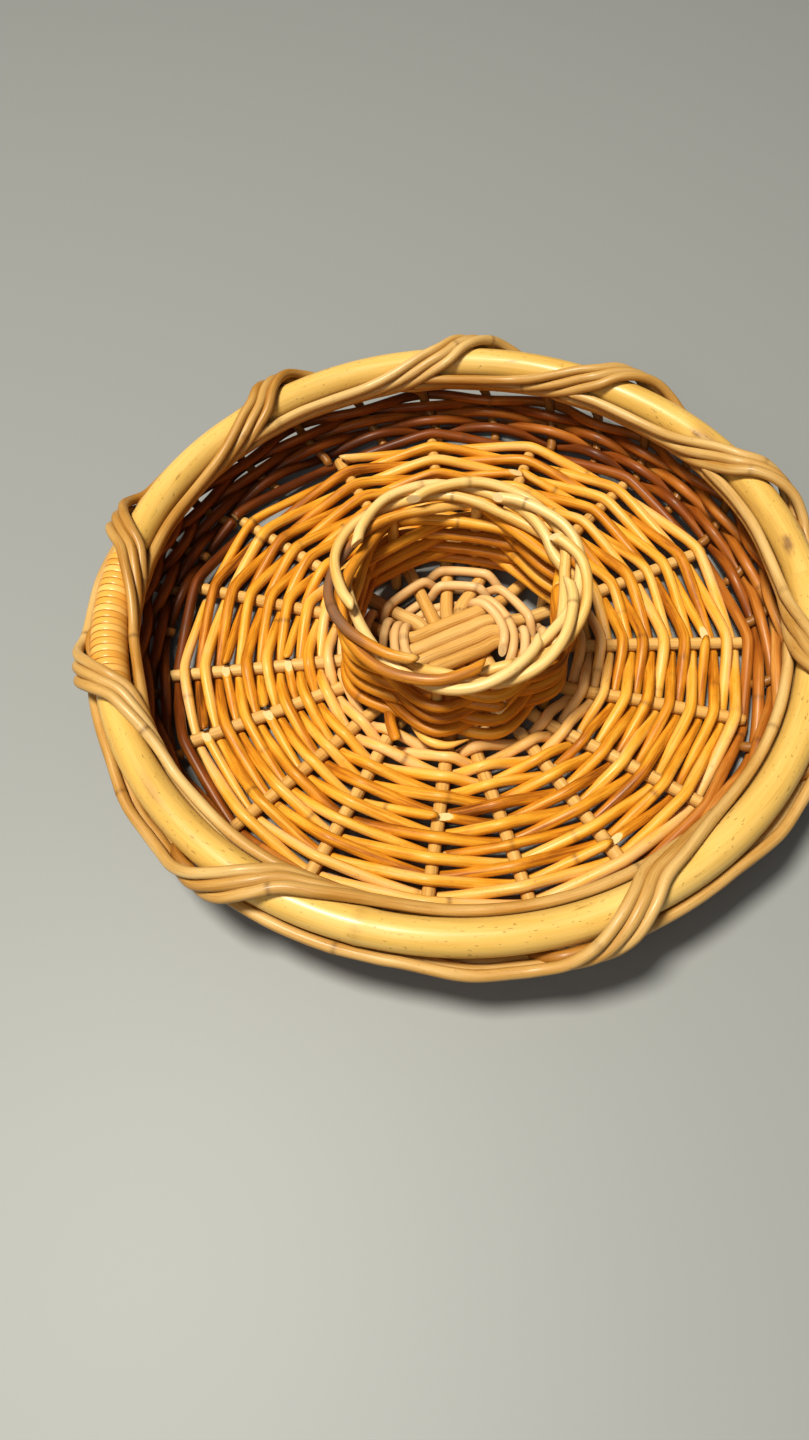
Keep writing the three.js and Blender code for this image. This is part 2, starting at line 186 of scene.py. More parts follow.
class RodShapes:
    """Collects the rods of one piece: vertices, faces and what the materials read."""

    def __init__(self):
        self.verts, self.faces, self.core_faces = [], [], []
        self.rod, self.tone, self.node = [], [], []
        self.count = 0

    def add(self, path, radius, tone=0.5, sides=12, slant=(0.0, 0.0), taper=1.0, node_gap=0.13, swell=0.05):
        tangents, normals, binormals = carry_frames(path)
        rings = len(path)
        along = np.concatenate([[0], np.cumsum(np.linalg.norm(np.diff(path, axis=0), axis=1))])
        start = rng.uniform(0, 40)
        nearest = node_distance(along, rng.uniform(0.2, 1.0) * node_gap, node_gap)
        radii = spread(radius, along) * np.linspace(1, taper, rings)
        radii *= unevenness(along, start, nearest, swell)
        turn = np.arange(sides) / sides * 2 * math.pi
        ring_scale = np.ones(rings)
        ring_scale[0] = ring_scale[-1] = END_ROUNDING
        cut = [slant[0] * radii[0], slant[1] * radii[-1]]
        x = np.outer(radii * ring_scale, np.cos(turn))
        y = np.outer(radii * ring_scale, np.sin(turn))
        ring = path[:, None, :] + x[..., None] * normals[:, None, :] + y[..., None] * binormals[:, None, :]
        reach = max(2, int(abs(slant[0]) + 2))
        for k in range(min(reach, rings)):
            fade = 1 - k / reach
            ring[k] += np.outer(np.cos(turn) * cut[0] * fade, tangents[0])
            ring[rings - 1 - k] += np.outer(np.cos(turn) * cut[1] * fade, tangents[-1])
        base = self.count
        self.verts.append(ring.reshape(-1, 3))
        self.rod.append(np.column_stack([np.repeat(along + start, sides), x.ravel(), y.ravel()]))
        self.node.append(np.repeat(np.exp(-((nearest / NODE_RING_REACH) ** 2)), sides))
        tones = spread(tone, along)
        self.tone.append(np.repeat(tones, sides))
        i, k = np.meshgrid(np.arange(rings - 1), np.arange(sides), indexing="ij")
        a, b = base + i * sides + k, base + i * sides + (k + 1) % sides
        self.faces.append(np.stack([a, b, b + sides, a + sides], axis=-1).reshape(-1, 4))
        self.count += rings * sides
        self._cap(ring[0], -tangents[0], base, start, tones[0], True)
        last = base + (rings - 1) * sides
        self._cap(ring[-1], tangents[-1], last, start + along[-1], tones[-1], False)

    def _cap(self, ring, out, first, along, tone, flip):
        sides = len(ring)
        middle = ring.mean(axis=0) + out * CAP_RISE
        self.verts.append(middle[None])
        self.rod.append(np.array([[along, 0, 0]]))
        self.tone.append(np.array([tone]))
        self.node.append(np.array([0.0]))
        hub = self.count
        self.count += 1
        for k in range(sides):
            a, b = first + k, first + (k + 1) % sides
            self.core_faces.append((b, a, hub) if flip else (a, b, hub))


print("rod shaper ready")

# %% [markdown]
# The rods of one piece become one mesh with two finishes: the skin round the rods, shaded smooth, and the
# pale core on the cut ends, shaded flat. What the finishes read is kept on the points as attributes.

# %% Make a piece of its rods
def build_piece(shapes, name, skin, core):
    quads = np.vstack(shapes.faces)
    faces = [tuple(f) for f in quads.tolist()] + shapes.core_faces
    mesh = bpy.data.meshes.new(name)
    mesh.from_pydata(np.vstack(shapes.verts).tolist(), [], faces)
    for label, data in (("tone", shapes.tone), ("node", shapes.node)):
        layer = mesh.attributes.new(label, "FLOAT", "POINT")
        layer.data.foreach_set("value", np.concatenate(data).astype(np.float32))
    layer = mesh.attributes.new("rod", "FLOAT_VECTOR", "POINT")
    layer.data.foreach_set("vector", np.vstack(shapes.rod).astype(np.float32).ravel())
    mesh.materials.append(skin)
    mesh.materials.append(core)
    is_end = np.arange(len(faces)) >= len(quads)
    mesh.polygons.foreach_set("material_index", is_end.astype(np.int32))
    mesh.polygons.foreach_set("use_smooth", ~is_end)
    mesh.update()
    piece = bpy.data.objects.new(name, mesh)
    bpy.context.collection.objects.link(piece)
    return piece


print("piece maker ready")

# %% [markdown]
# Rattan's colour lies in several scales: blotches along a rod from pale to honey, fine fibres that run its
# length, thin dark lines between them, dark rings at the nodes and a few specks. One function builds such a
# finish from the coordinates stored on the rods, and each kind of rod gets its own colours and gloss. The
# noises are stretched: each is given as its pace along the rod and across it, per metre.

# %% Nodes for a finish
BLOTCH_PACE, LINE_PACE = (20, 160, 160), (16, 900, 900)
PORE_PACE, SPECK_PACE = (420, 5200, 5200), (300, 700, 700)
FIBRE_PACE = 26
NODE_DARKNESS, SPECK_LEVEL = 0.85, 0.70
SHEEN, COAT_ROUGHNESS, BUMP_DEPTH = 0.3, 0.22, 0.3 * MM


def math_node(tree, operation, a, b=None, c=None):
    node = tree.nodes.new("ShaderNodeMath")
    node.operation = operation
    for socket, value in zip(node.inputs, (a, b, c)):
        if value is None:
            continue
        if isinstance(value, (int, float)):
            socket.default_value = value
        else:
            tree.links.new(value, socket)
    return node.outputs[0]


def stretched_noise(tree, coords, scale, detail, roughness=0.5):
    mapping = tree.nodes.new("ShaderNodeMapping")
    mapping.inputs["Scale"].default_value = scale
    tree.links.new(coords, mapping.inputs["Vector"])
    noise = tree.nodes.new("ShaderNodeTexNoise")
    noise.inputs["Scale"].default_value = 1.0
    noise.inputs["Detail"].default_value = detail
    noise.inputs["Roughness"].default_value = roughness
    tree.links.new(mapping.outputs[0], noise.inputs["Vector"])
    return noise.outputs["Fac"]


def read_attribute(tree, label):
    node = tree.nodes.new("ShaderNodeAttribute")
    node.attribute_name = label
    return node.outputs


def colour_ramp(tree, level, colours):
    ramp = tree.nodes.new("ShaderNodeValToRGB")
    while len(ramp.color_ramp.elements) < len(colours):
        ramp.color_ramp.elements.new(0.5)
    for i, colour in enumerate(colours):
        ramp.color_ramp.elements[i].position = i / (len(colours) - 1)
        ramp.color_ramp.elements[i].color = (*colour, 1)
    tree.links.new(level, ramp.inputs["Fac"])
    return ramp.outputs["Color"]


print("finish nodes ready")

# %% [markdown]
# The rod's own tone, the blotches and the fibres add up to a level that picks a colour from the ramp. What
# is darker than that, the node rings, the lines and the specks, is laid over it in one dark colour.

# %% The rattan finish
def rattan_finish(name, colours, roughness, coat, fibre=0.35, bump=0.25, node_colour=(0.10, 0.045, 0.012),
                  speck=0.0, blotch=0.7, streak=0.22, grain=1500):
    material = bpy.data.materials.new(name)
    material.use_nodes = True
    tree = material.node_tree
    shader = tree.nodes["Principled BSDF"]
    rod, tone, mark = (read_attribute(tree, label) for label in ("rod", "tone", "node"))
    slow = stretched_noise(tree, rod["Vector"], BLOTCH_PACE, 4, 0.6)
    fibres = stretched_noise(tree, rod["Vector"], (FIBRE_PACE, grain, grain), 3)
    pores = stretched_noise(tree, rod["Vector"], PORE_PACE, 2)
    level = math_node(tree, "MULTIPLY_ADD", slow, blotch, -blotch / 2)
    level = math_node(tree, "MULTIPLY_ADD", fibres, fibre, level)
    level = math_node(tree, "ADD", level, tone["Fac"])
    level = math_node(tree, "SUBTRACT", level, fibre / 2)
    dark = math_node(tree, "MULTIPLY", mark["Fac"], math_node(tree, "MULTIPLY_ADD", fibres, 1.2, 0.1))
    dark = math_node(tree, "MULTIPLY", dark, NODE_DARKNESS)
    lines = stretched_noise(tree, rod["Vector"], LINE_PACE, 4, 0.65)
    lines = math_node(tree, "MULTIPLY_ADD", lines, 4.5, -2.35)
    lines = math_node(tree, "MINIMUM", math_node(tree, "MAXIMUM", lines, 0.0), 1.0)
    dark = math_node(tree, "MAXIMUM", dark, math_node(tree, "MULTIPLY", lines, streak))
    if speck:
        dots = stretched_noise(tree, rod["Vector"], SPECK_PACE, 1)
        dots = math_node(tree, "GREATER_THAN", dots, SPECK_LEVEL)
        dark = math_node(tree, "MAXIMUM", dark, math_node(tree, "MULTIPLY", dots, speck))
    darker = tree.nodes.new("ShaderNodeMix")
    darker.data_type = "RGBA"
    tree.links.new(dark, darker.inputs["Factor"])
    tree.links.new(colour_ramp(tree, level, colours), darker.inputs["A"])
    darker.inputs["B"].default_value = (*node_colour, 1)
    tree.links.new(darker.outputs["Result"], shader.inputs["Base Color"])
    rough = math_node(tree, "MULTIPLY_ADD", fibres, 0.25, roughness - 0.12)
    tree.links.new(rough, shader.inputs["Roughness"])
    shader.inputs["Specular IOR Level"].default_value = SHEEN
    shader.inputs["Coat Weight"].default_value = coat
    shader.inputs["Coat Roughness"].default_value = COAT_ROUGHNESS
    lift = tree.nodes.new("ShaderNodeBump")
    lift.inputs["Strength"].default_value = bump
    lift.inputs["Distance"].default_value = BUMP_DEPTH
    tree.links.new(math_node(tree, "MULTIPLY_ADD", pores, 0.35, fibres), lift.inputs["Height"])
    tree.links.new(lift.outputs[0], shader.inputs["Normal"])
    return material


print("rattan finish ready")

# %% [markdown]
# The ramps run from pale to dark. Floor and cup rods have skin and show every colour, the spokes and the
# fine rods are peeled core, duller and more fibrous, and the pole has the smoothest skin of all.

# %% Finishes of the tray
PALE_PINK, PALE_TAN = (0.74, 0.44, 0.17), (0.74, 0.41, 0.09)
GOLD, HONEY = (0.70, 0.34, 0.035), (0.57, 0.23, 0.015)
ORANGE, BROWN = (0.38, 0.125, 0.008), (0.14, 0.042, 0.004)
floor_skin = rattan_finish(
    "floor_rattan_skin", [PALE_PINK, PALE_TAN, GOLD, HONEY, ORANGE, BROWN],
    0.5, 0.1, blotch=1.6, fibre=0.6, bump=0.4, speck=0.25, streak=0.32)
cup_skin = rattan_finish(
    "cup_rattan_skin", [PALE_TAN, GOLD, HONEY, ORANGE, BROWN],
    0.48, 0.12, blotch=1.5, fibre=0.55, bump=0.4, streak=0.32)
border_skin = rattan_finish(
    "border_rattan_skin", [(0.72, 0.50, 0.21), (0.64, 0.40, 0.12), HONEY, (0.30, 0.12, 0.03),
     (0.19, 0.105, 0.06)],
    0.48, 0.15, fibre=0.5, bump=0.4, speck=0.2, blotch=1.0, streak=0.3)
lash_skin = rattan_finish(
    "lashing_rattan_skin", [(0.57, 0.38, 0.15), (0.48, 0.28, 0.085), (0.38, 0.18, 0.03),
     (0.27, 0.11, 0.018)],
    0.5, 0.15, fibre=0.5, bump=0.4, blotch=1.3, speck=0.2, streak=0.3)
spoke_skin = rattan_finish(
    "spoke_rattan_core", [(0.64, 0.40, 0.14), (0.56, 0.30, 0.07), (0.40, 0.18, 0.03)],
    0.62, 0.05, fibre=1.1, bump=1.0, blotch=0.6, streak=0.55, grain=800)
binder_skin = rattan_finish(
    "binder_rattan", [(0.68, 0.45, 0.21), (0.62, 0.36, 0.13), (0.50, 0.25, 0.06)],
    0.55, 0.08, fibre=0.5)
dark_skin = rattan_finish(
    "dark_rattan_skin", [PALE_PINK, (0.60, 0.29, 0.07), (0.40, 0.14, 0.018), (0.21, 0.055, 0.006),
     (0.09, 0.022, 0.003)],
    0.48, 0.1, blotch=0.9)
pole_skin = rattan_finish(
    "pole_rattan_skin", [(0.69, 0.46, 0.15), (0.61, 0.38, 0.095), (0.48, 0.28, 0.075),
     (0.30, 0.17, 0.06)],
    0.4, 0.2, fibre=0.4, bump=0.2, speck=0.4, blotch=0.8, streak=0.2, grain=900)
cane_skin = rattan_finish(
    "flat_cane_skin", [(0.76, 0.43, 0.12), (0.68, 0.33, 0.06), (0.50, 0.20, 0.03)],
    0.45, 0.2)
cut_core = rattan_finish(
    "cut_rattan_core", [(0.72, 0.53, 0.27), (0.62, 0.42, 0.18)],
    0.75, 0.0, fibre=1.0, bump=0.5)
print(len(bpy.data.materials), "finishes")


# %% [markdown]
# Every finished piece hides the frame nodes that it stands for and rides on the tray's one body, since
# nothing on a woven tray moves.

# %% Settle a piece into the frame
def settle(piece, slot, *nodes):
    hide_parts(*nodes)
    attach(piece, "root")
    return piece


# %% [markdown]
# The base is a slath: four stout rods laid side by side across four others. The upper four ride over the
# lower four, then all sink to one level and fan out as spokes. One more spoke is pushed in beside them,
# which makes their number odd, so that an over-one-under-one weave alternates from row to row by itself.

# %% Base rods
UPPER_RODS = [(16, 10), (0, 9), (1, 8), (2, 7)]
LOWER_RODS = [(3, 15), (4, 13), (5, 12), (6, 11)]
UPPER_AXIS, LOWER_AXIS = 22, 110
ROD_SPACING = 8.3 * MM
SPOKE_IN, SPOKE_END = 60 * MM, 167 * MM
ARM_STRAIGHT, ARM_SETTLED = 22 * MM, 41 * MM
UPPER_LIFT, LOWER_LIFT = 7.4 * MM, -0.1 * MM
ROD_THICKNESS = (0.95, 1, 1.02, 1.12, 1.02, 1, 0.95)


def spoke_at(j, radius):
    outer, inner = SPOKES[j]
    t = (radius - SPOKE_IN) / (SPOKE_END - SPOKE_IN)
    return mix(polar(SPOKE_IN, inner, SPOKE_Z), polar(SPOKE_END, outer, SPOKE_Z), t)


def base_arm(j, axis, offset, lift):
    direction = polar(1, axis, 0) - polar(0, 0, 0)
    across = polar(1, axis + 90, 0) - polar(0, 0, 0)
    start = polar(0, 0, SPOKE_Z) + direction * ARM_STRAIGHT + across * offset
    inner = spoke_at(j, SPOKE_IN)
    settled = mix(start, inner, (ARM_SETTLED - ARM_STRAIGHT) / (SPOKE_IN - ARM_STRAIGHT))
    start = start + np.array([0, 0, lift])
    middle = start - direction * ARM_STRAIGHT * 0.55
    return [middle, start, settled, inner, spoke_at(j, (SPOKE_IN + SPOKE_END) / 2), spoke_at(j, SPOKE_END)]


def add_base_rods(label, pairs, axis, lift):
    for i, (near, far) in enumerate(pairs):
        offset = (i - 1.5) * ROD_SPACING
        one = base_arm(near, axis, offset, lift)
        other = base_arm(far, axis + 180, -offset, lift)
        shapes = RodShapes()
        thick = [SPOKE_R * share for share in ROD_THICKNESS]
        shapes.add(smooth_path(other[::-1] + one, 2.2 * MM), thick, tone=rng.uniform(0.1, 0.6), sides=14,
                   node_gap=0.31, swell=0.03)
        name = f"base_rod_{label}_{i + 1}"
        settle(build_piece(shapes, name + "_rattan", spoke_skin, cut_core), "spoke_rattan", name)


add_base_rods("upper", UPPER_RODS, UPPER_AXIS, UPPER_LIFT)
add_base_rods("lower", LOWER_RODS, LOWER_AXIS, LOWER_LIFT)
INSERTED = 14
inserted = RodShapes()
places = [spoke_at(INSERTED, radius) for radius in (66 * MM, 110 * MM, SPOKE_END)]
inserted.add(smooth_path(places, 2.2 * MM), SPOKE_R, tone=0.3, sides=14, slant=(1.2, 0))
inserted_piece = build_piece(inserted, "base_spoke_inserted_rattan", spoke_skin, cut_core)
settle(inserted_piece, "spoke_rattan", "base_spoke_inserted")
print("base rods laid")

# %% [markdown]
# Going round the middle, a rod meets the sixteen arms of the base rods in four groups. To weave there we
# need to know where an arm lies at any distance from the middle, so each arm is smoothed once and searched
# by radius.

# %% Arms round the middle
def smooth_arm(pair, end, axis, offset, lift):
    arm = base_arm(pair[end], axis + 180 * end, -offset if end else offset, lift)
    path = smooth_path(arm, 0.5 * MM)
    return path, np.hypot(path[:, 0] - CENTRE[0], path[:, 1] - CENTRE[1])


ARM_GROUPS = []
for end in (0, 1):
    for rods, axis, lift in ((UPPER_RODS, UPPER_AXIS, UPPER_LIFT), (LOWER_RODS, LOWER_AXIS, LOWER_LIFT)):
        group = [smooth_arm(pair, end, axis, (i - 1.5) * ROD_SPACING, lift) for i, pair in enumerate(rods)]
        ARM_GROUPS.append(group[::-1] if end else group)


def arm_place(arm, radius):
    path, reach = arm
    place = path[np.argmax(reach >= radius)]
    return math.degrees(math.atan2(place[1] - CENTRE[1], place[0] - CENTRE[0])), place[2]


def across_arms(arms, radius, rise, flat, middle=0.0):
    places = [arm_place(arm, radius) for arm in arms]
    crossings = [polar(radius, degrees, height + rise) for degrees, height in places]
    turn, end_rise = math.degrees(flat / radius), rise * (1 - middle)
    (first, first_height), (last, last_height) = places[0], places[-1]
    before = polar(radius, first - turn, first_height + end_rise)
    after = polar(radius, last + turn, last_height + end_rise)
    return [before] + crossings + [after]


print(len(ARM_GROUPS), "groups of", len(ARM_GROUPS[0]), "arms")

# %% [markdown]
# A fine rod ties the cross. It passes over the upper arms and under the lower ones, twice round, and its
# rounded corners are what shows inside the cup.

# %% Binding of the cross
BINDER_R = 2.75 * MM
BINDER_PRESS = 0.9 * MM           # the fine rod is pulled tight on the arms
BINDER_OFFSET = SPOKE_R + BINDER_R - BINDER_PRESS
BINDING_FIRST, BINDING_PITCH, BINDING_ROUNDS = 27.5 * MM, 5.6 * MM, 2

points = []
for k in range(BINDING_ROUNDS * len(ARM_GROUPS)):
    rise = (-1 if k % 2 else 1) * BINDER_OFFSET
    radius = BINDING_FIRST + BINDING_PITCH * k / len(ARM_GROUPS)
    points += across_arms(ARM_GROUPS[k % len(ARM_GROUPS)], radius, rise, SPOKE_R + BINDER_R, middle=0.6)
binding = RodShapes()
binding.add(smooth_path(points, 1.8 * MM), BINDER_R, tone=(0.1, 0.3), sides=14, slant=(1.2, 1.2))
binding_piece = build_piece(binding, "base_cross_binding_rattan", binder_skin, cut_core)
settle(binding_piece, "binder_rattan", "base_cross_binding")
print("cross tied")

# %% [markdown]
# Between the binding and the cup's wall a pale weaver opens the cross into spokes. It takes the arms two by
# two, with two taken singly so that the next round alternates.

# %% Cup floor weaver
CUP_FLOOR_RUNS = [2, 2, 2, 2, 1, 2, 2, 2, 1]
CUP_FLOOR_FIRST, CUP_FLOOR_LAST, CUP_FLOOR_PITCH = 40.0 * MM, 58.0 * MM, 5.6 * MM
CUP_FLOOR_FLAT = 4.4 * MM
arms = [arm for group in ARM_GROUPS for arm in group]
count = int((CUP_FLOOR_LAST - CUP_FLOOR_FIRST) / CUP_FLOOR_PITCH * len(CUP_FLOOR_RUNS))
points, begin = [], 0
for k in range(count):
    run = CUP_FLOOR_RUNS[k % len(CUP_FLOOR_RUNS)]
    radius = CUP_FLOOR_FIRST + CUP_FLOOR_PITCH * k / len(CUP_FLOOR_RUNS)
    crossed = [arms[(begin + i) % len(arms)] for i in range(run)]
    rise = (-1 if k % 2 else 1) * BINDER_OFFSET
    points += across_arms(crossed, radius, rise, CUP_FLOOR_FLAT)
    begin += run
shapes = RodShapes()
half = len(points) // 2
for stretch, tones in ((points[:half], (0.0, 0.25)), (points[half:], (0.3, 0.05))):
    shapes.add(smooth_path(stretch, 1.8 * MM), BINDER_R, tone=tones, sides=14, slant=(1.4, 1.4))
cup_floor_piece = build_piece(shapes, "cup_floor_weaver_rattan", binder_skin, cut_core)
settle(cup_floor_piece, "binder_rattan", "cup_floor_weaver")
print("cup floor woven in", round(count / len(CUP_FLOOR_RUNS), 1), "rounds")

# %% [markdown]
# The floor is plain randing: over one spoke, under the next. The weaver stays nearly straight from spoke to
# spoke and turns on the spokes, so its rows look like polygons, and it bites into them a little, as a rod
# under tension does. A rod is only a metre or two long, so the spiral is made of several, each with its own
# colour, and a new one starts where the last one ends.

# %% Floor weavers
FLOOR_IN, ROW_PITCH = 71.5 * MM, 5.95 * MM
WEAVE_PRESS = 1.9 * MM
WEAVE_OFFSET = WEAVER_R + SPOKE_R - WEAVE_PRESS
CROSSING_HALF = 3.2 * MM
ROW_DRIFT, DRIFT_PACE = 0.25 * MM, 0.9
WEAVER_THICKNESS = np.array([0.8, 1, 1.02, 1, 1, 0.98, 0.86])
FLOOR_ROD_TURNS = [
    -0.65, 1.1, 2.2, 2.9, 3.8, 4.5, 5.3, 6.1, 6.7, 7.5, 8.2, 9.0, 9.7, 10.5, 11.2, 12.0, 12.8, 13.5, 14.4,
    15.3,
]
FLOOR_TONES = [
    (0.02, 0.1), (0.08, 0.05), (0.3, 0.4), (0.2, 0.35), (0.62, 0.5), (0.45, 0.3), (0.55, 0.72), (0.36, 0.5),
    (0.7, 0.55), (0.42, 0.3), (0.6, 0.66), (0.3, 0.48), (0.74, 0.6), (0.46, 0.38), (0.66, 0.5), (0.26, 0.42),
    (0.62, 0.76), (0.18, 0.5), (0.1, 0.3),
]


def floor_points(first, last):
    points = []
    drift = rng.uniform(0, 6)
    for k in range(first, last + 1):
        j = k % len(SPOKES)
        radius = FLOOR_IN + ROW_PITCH * k / len(SPOKES) + ROW_DRIFT * math.sin(k * DRIFT_PACE + drift)
        centre = spoke_at(j, radius)
        spoke = spoke_at(j, SPOKE_END) - spoke_at(j, SPOKE_IN)
        spoke /= np.linalg.norm(spoke)
        along = np.array([-spoke[1], spoke[0], 0])
        centre[2] = SPOKE_Z + (-1 if k % 2 else 1) * WEAVE_OFFSET
        points += [centre - along * CROSSING_HALF, centre + along * CROSSING_HALF]
    return points


FLOOR_NODES = ["floor_weaver_inner", "floor_weaver_middle", "floor_weaver_outer"]
for i, (begin, finish) in enumerate(zip(FLOOR_ROD_TURNS, FLOOR_ROD_TURNS[1:])):
    first, last = round(begin * len(SPOKES)), round(finish * len(SPOKES))
    shapes = RodShapes()
    thick = WEAVER_R * rng.uniform(0.96, 1.03) * WEAVER_THICKNESS
    shapes.add(smooth_path(floor_points(first, last)[1:-1], 2.4 * MM), thick, tone=FLOOR_TONES[i], sides=12,
               node_gap=rng.uniform(0.14, 0.24), slant=(1.6, 1.6))
    node = FLOOR_NODES[min(2, int(3 * begin / FLOOR_ROD_TURNS[-1]))]
    settle(build_piece(shapes, f"floor_weaver_rod_{i + 1}", floor_skin, cut_core), "floor_rattan", node)
print(len(FLOOR_TONES), "floor weavers")

# %% [markdown]
# Nine stakes stand up out of the floor beside the spokes. They carry the cup's wall, and at the top each
# one rolls over: behind the next stake, up and out in front of two more, and back in, where it is cut off.
# The border is one path, given as stakes travelled, radius and height, used nine times.

# %% Cup stakes and border
STAKE_R = 3.15 * MM
STAKE_HEIGHTS = (2, 20, 40, 58)
BORDER = [
    (0, 62, 64.1), (0.25, 59.5, 64.4), (0.5, 57.6, 65.4), (0.75, 57.0, 67.4), (1, 57.9, 69.7),
    (1.25, 59.9, 70.9), (1.5, 62.4, 70.3), (2, 66.7, 69.5), (2.5, 68.8, 72.8), (3, 66.9, 76.2),
    (3.5, 61.6, 76.9), (3.75, 58.3, 76.7),
]
BORDER_TONES = [
    0.1, (0.3, 0.18), (0.45, 0.3, 0.2, 0.3, 0.4, 0.6, 0.95, 1, 0.95, 0.5, 0.3), (0.3, 0.4, 0.55, 0.6, 0.5),
    (0.1, 0.0), 0.12, (0.3, 0.15), 0.05, (0.35, 0.15),
]


def stake_angle(steps):
    n, i = len(CUP_STAKES), int(math.floor(steps))
    here, after = (CUP_STAKES[k % n] + 360 * (k // n) for k in (i, i + 1))
    return mix(here, after, steps - i)


for i, angle in enumerate(CUP_STAKES):
    points = [polar(CUP_R, angle, height * MM) for height in STAKE_HEIGHTS]
    points += [polar(r * MM, stake_angle(i + s), z * MM) for s, r, z in BORDER]
    shapes = RodShapes()
    shapes.add(smooth_path(points, 1.8 * MM), STAKE_R, tone=BORDER_TONES[i], sides=14, slant=(0, 1.1),
               taper=0.94)
    name = f"cup_stake_{i + 1}"
    settle(build_piece(shapes, name + "_rattan", border_skin, cut_core), "border_rattan", name)
print(len(CUP_STAKES), "cup stakes")

# %% [markdown]
# The cup's wall is the same weave stood on end, an in-and-out spiral round the nine stakes. It starts on
# the spokes, a little wider than it goes on, and its rods are the most orange ones of the tray.

# %% Cup weavers
CUP_ROW_Z, CUP_TOP_ROW_Z, CUP_PITCH = 16.6 * MM, 59.6 * MM, 5.9 * MM
CUP_PRESS, CUP_FLARE, CUP_FLARE_HIGH = 1.3 * MM, 3 * MM, 22 * MM
CUP_ROD_TONES = [(0.5, 0.4), (0.62, 0.55), (0.36, 0.5), (0.66, 0.5), (0.44, 0.6), (0.4, 0.3)]
crossings = int((CUP_TOP_ROW_Z - CUP_ROW_Z) / CUP_PITCH * len(CUP_STAKES))
for i, tone in enumerate(CUP_ROD_TONES):
    first, last = (round(crossings * k / len(CUP_ROD_TONES)) for k in (i, i + 1))
    points = []
    for k in range(first, last + 1):
        height = CUP_ROW_Z + CUP_PITCH * k / len(CUP_STAKES)
        flare = CUP_FLARE * max(0, 1 - (height - CUP_ROW_Z) / CUP_FLARE_HIGH) ** 2
        radius = CUP_R + flare + (1 if k % 2 else -1) * (WEAVER_R + STAKE_R - CUP_PRESS)
        points.append(polar(radius, stake_angle(k), height))
    shapes = RodShapes()
    shapes.add(smooth_path(points, 1.8 * MM), WEAVER_R, tone=tone, sides=14, node_gap=0.19, slant=(1, 1))
    node = "cup_weaver_lower" if i < len(CUP_ROD_TONES) / 2 else "cup_weaver_upper"
    settle(build_piece(shapes, f"cup_weaver_rod_{i + 1}", cup_skin, cut_core), "cup_rattan", node)
print(len(CUP_ROD_TONES), "cup weavers")

# %% [markdown]
# Two rod ends stick out at the foot of the wall. One is a stub that was cut off short, the other a pale
# sliver that split off, thick in the middle and pointed at both ends.

# %% Loose ends at the cup's foot
STUB = [(61, 228, 19), (68, 233.5, 19.6), (76, 240, 20.4)]
SLIVER = [(64, 243, 19), (70.5, 253, 20.4), (72, 261, 20.4), (68.5, 271, 20.6)]
SLIVER_THICKNESS = [0.8 * MM, 2.5 * MM, 2.6 * MM, 1.8 * MM, 0.5 * MM]


def loose_end(places):
    points = [polar(radius * MM, degrees, height * MM) for radius, degrees, height in places]
    return smooth_path(points, 1.5 * MM)


loose = RodShapes()
loose.add(loose_end(STUB), STAKE_R, tone=(0.75, 0.45), sides=14, slant=(0, 0.6))
loose.add(loose_end(SLIVER), SLIVER_THICKNESS, tone=(-0.3, -0.2, 0.1), sides=14)
settle(build_piece(loose, "cup_foot_rod_ends", cup_skin, cut_core), "cup_rattan", "cup_weaver_lower")
print("two loose ends")

# %% [markdown]
# The rim is a thick pole bent into a ring, so it starts as a torus primitive. It gets many segments,
# because its knots and scars will be painted point by point.

# %% Rim pole
bpy.ops.object.select_all(action="DESELECT")
bpy.ops.mesh.primitive_torus_add(major_segments=960, minor_segments=48, major_radius=RING_R,
                                 minor_radius=POLE_R, location=tuple(CENTRE))
pole = bpy.context.object
pole.name = "rim_pole_rattan"
bpy.ops.object.transform_apply(location=True, rotation=True, scale=True)
print("pole:", len(pole.data.polygons), "faces")

# %% [markdown]
# A bent pole is never quite round. It is thicker and thinner in slow waves, swells sharply at its nodes and
# is a little thinner just past them. Each point is therefore moved towards or away from the pole's own
# axis.

# %% Swell the pole at its nodes
POLE_NODES = [252.2, 128]
POLE_WAVES = ((0.012, 5, 20), (0.01, 11, 0))    # share of the radius, waves in the ring, degrees to start at
NODE_SWELL, NODE_SWELL_REACH = 0.045, 4 * MM
NODE_WAIST, NODE_WAIST_REACH = 0.02, 30 * MM

coords = np.empty(len(pole.data.vertices) * 3)
pole.data.vertices.foreach_get("co", coords)
coords = coords.reshape(-1, 3)
flat = coords[:, :2] - CENTRE[:2]
ring_angle = np.degrees(np.arctan2(flat[:, 1], flat[:, 0])) % 360
ring_dist = np.hypot(flat[:, 0], flat[:, 1])
out_xy = flat / ring_dist[:, None]
u, v = ring_dist - RING_R, coords[:, 2] - POLE_Z


def degrees_from(angles, place):
    return (angles - place + 180) % 360 - 180


def ring_waves(table):
    return sum(size * np.sin(np.radians(ring_angle * waves + start)) for size, waves, start in table)


swell = 1 + ring_waves(POLE_WAVES)
nearest = np.full(len(coords), 1.0)
for place in POLE_NODES:
    gap = np.radians(degrees_from(ring_angle, place)) * RING_R
    swell += NODE_SWELL * np.exp(-((gap / NODE_SWELL_REACH) ** 2))
    swell -= NODE_WAIST * (gap > 0) * np.exp(-gap.clip(0) / NODE_WAIST_REACH)
    nearest = np.minimum(nearest, np.abs(gap))
coords[:, :2] = CENTRE[:2] + out_xy * (RING_R + u * swell)[:, None]
coords[:, 2] = POLE_Z + v * swell
pole.data.vertices.foreach_set("co", coords.ravel())
print(f"pole radius from {POLE_R * swell.min():.4f} to {POLE_R * swell.max():.4f}")

